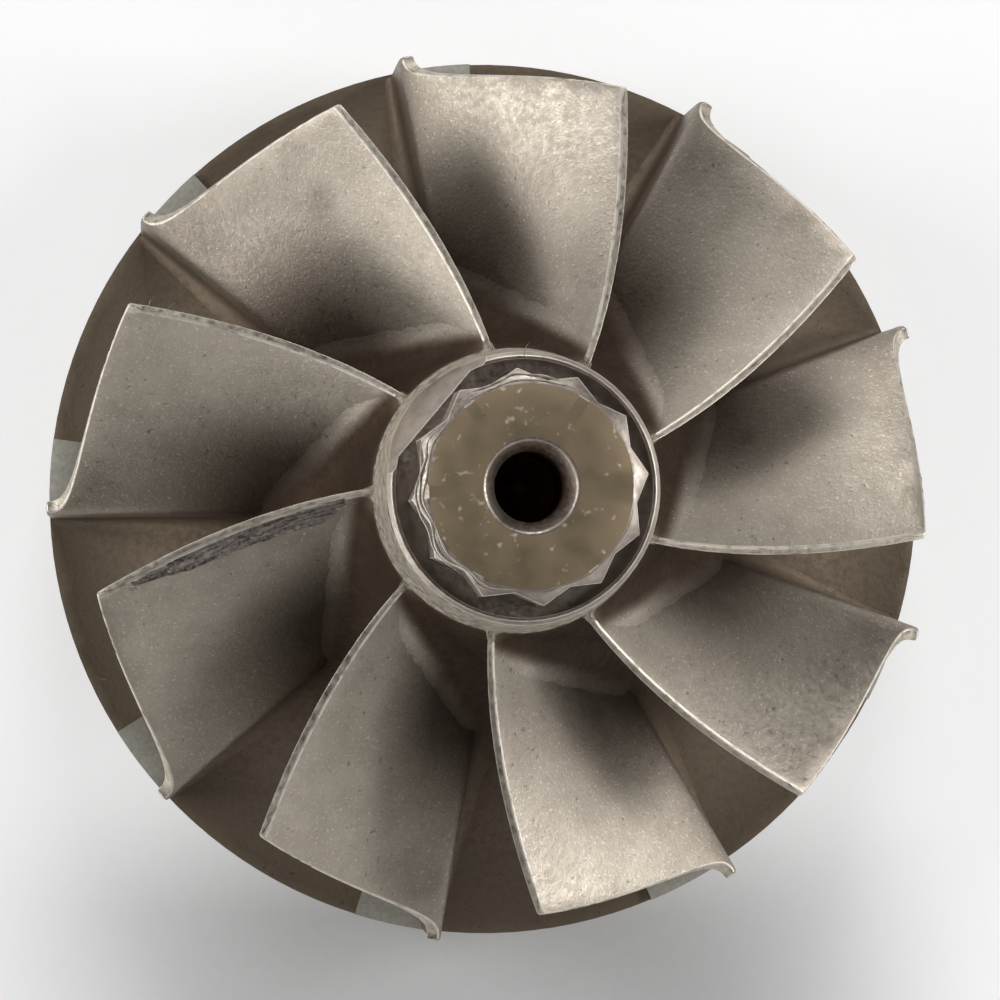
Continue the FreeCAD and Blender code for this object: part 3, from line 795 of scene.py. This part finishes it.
def white_floor():
    """Matt white table. It is drawn near white to the eye and in reflections.

    The lift fades in an ellipse in front of the wheel, which paints a soft shadow there, darker than the
    real one alone.
    """
    material, tree = new_material("matt_white_table")
    position = add(tree, "ShaderNodeTexCoord", output="Object")
    tooth = add(tree, "ShaderNodeTexNoise", {"Vector": position, "Scale": per_mm(0.8)})
    colour = add(tree, "ShaderNodeMix", {0: tooth, 6: hex_colour("cbcbcb"), 7: hex_colour("d1d1d1")},
                 output=2, data_type="RGBA")
    matt = add(tree, "ShaderNodeBsdfDiffuse", {"Color": colour})
    seen = add(tree, "ShaderNodeLightPath", output="Is Camera Ray")
    mirrored = add(tree, "ShaderNodeLightPath", output="Is Glossy Ray")
    through = add(tree, "ShaderNodeLightPath", output="Is Transmission Ray")
    either = add(tree, "ShaderNodeMath", {0: seen, 1: mirrored}, operation="MAXIMUM")
    either = add(tree, "ShaderNodeMath", {0: either, 1: through}, operation="MAXIMUM")
    from_painted_shadow = add(tree, "ShaderNodeMapping", {
        "Vector": position, "Location": (0, PAINTED_SHADOW_AHEAD, 0)}, vector_type="POINT")
    from_painted_shadow = add(tree, "ShaderNodeVectorMath", {
        0: from_painted_shadow, 1: (1 / PAINTED_SHADOW_HALF_WIDTH, 1 / PAINTED_SHADOW_HALF_DEPTH, 0)},
        operation="MULTIPLY")
    away = add(tree, "ShaderNodeVectorMath", {0: from_painted_shadow}, output=1, operation="LENGTH")
    # The lift is taken away inside the ellipse: a painted shadow in front of the wheel.
    lift = add(tree, "ShaderNodeMapRange",
               {"Value": away, "From Min": 0.30, "From Max": 1.10, "To Min": 0.0, "To Max": FLOOR_LIFT},
               interpolation_type="SMOOTHSTEP")
    lift = add(tree, "ShaderNodeMath", {0: either, 1: lift}, operation="MULTIPLY")
    glow = add(tree, "ShaderNodeEmission", {"Color": hex_colour("ffffff"), "Strength": lift})
    both = add(tree, "ShaderNodeAddShader", {0: matt, 1: glow})
    add(tree, "ShaderNodeOutputMaterial", {"Surface": both})
    return material


bpy.ops.object.select_all(action="DESELECT")
bpy.ops.mesh.primitive_plane_add(size=TABLE_WIDTH, location=(0, 0, 0))
floor = bpy.context.object
floor.name = "floor"
floor.data.materials.append(white_floor())


LAMP_DISTANCE = 0.5
LAMP_AIM = Vector((0, 0, 0.02))


def soft_light(name, azimuth, elevation, width, height, power):
    """A soft light half a metre away, aimed at the middle of the wheel."""
    light = bpy.data.lights.new(name, "AREA")
    light.shape = "RECTANGLE"
    light.size = width
    light.size_y = height
    light.energy = power
    lamp = bpy.data.objects.new(name, light)
    bpy.context.scene.collection.objects.link(lamp)
    a, e = math.radians(azimuth), math.radians(elevation)
    away = Vector((math.cos(a) * math.cos(e), math.sin(a) * math.cos(e), math.sin(e)))
    lamp.location = LAMP_AIM + away * LAMP_DISTANCE
    lamp.rotation_euler = (-away).to_track_quat("-Z", "Y").to_euler()


# Name, azimuth and elevation in degrees, width and height in metres, power in watts.
for lamp_row in (
    ("left_lamp", 169, 31, 0.24, 0.12, 1.08),
    ("top_lamp", 88, 31, 0.17, 0.13, 0.85),
    ("right_lamp", 6, 31, 0.18, 0.12, 1.10),
    ("front_left_fill", 240, 31, 0.28, 0.24, 0.22),
    ("front_right_fill", 305, 31, 0.44, 0.26, 0.46),
    ("low_left_card", 206, 8, 0.34, 0.13, 0.66),
    ("low_right_card", 17, 8, 0.14, 0.13, 0.17),
    ("low_back_card", 112, 8, 0.26, 0.13, 0.16),
):
    soft_light(*lamp_row)



def light_tent():
    """White tent round the sides, dimmer in front of the wheel and dark overhead."""
    world = bpy.data.worlds.new("light_tent")
    world.use_nodes = True
    tree = world.node_tree
    tree.nodes.clear()
    direction = add(tree, "ShaderNodeTexCoord", output="Generated")
    up_share = add(tree, "ShaderNodeSeparateXYZ", {0: direction}, output=2)
    back_share = add(tree, "ShaderNodeSeparateXYZ", {0: direction}, output=1)
    side = add(tree, "ShaderNodeMapRange",
               {"Value": up_share, "From Min": 0.60, "From Max": 0.25}, interpolation_type="SMOOTHSTEP")
    back = add(tree, "ShaderNodeMapRange",
               {"Value": back_share, "From Min": -0.8, "From Max": 0.3, "To Min": 0.55},
               interpolation_type="SMOOTHSTEP")
    level = add(tree, "ShaderNodeMath", {0: side, 1: back}, operation="MULTIPLY")
    strength = add(tree, "ShaderNodeMath", {0: level, 1: 0.03, 2: 0.02}, operation="MULTIPLY_ADD")
    sky = add(tree, "ShaderNodeBackground", {"Color": hex_colour("fbfaf7"), "Strength": strength})
    add(tree, "ShaderNodeOutputWorld", {"Surface": sky})
    bpy.context.scene.world = world


light_tent()
bpy.context.scene.view_settings.view_transform = "Standard"
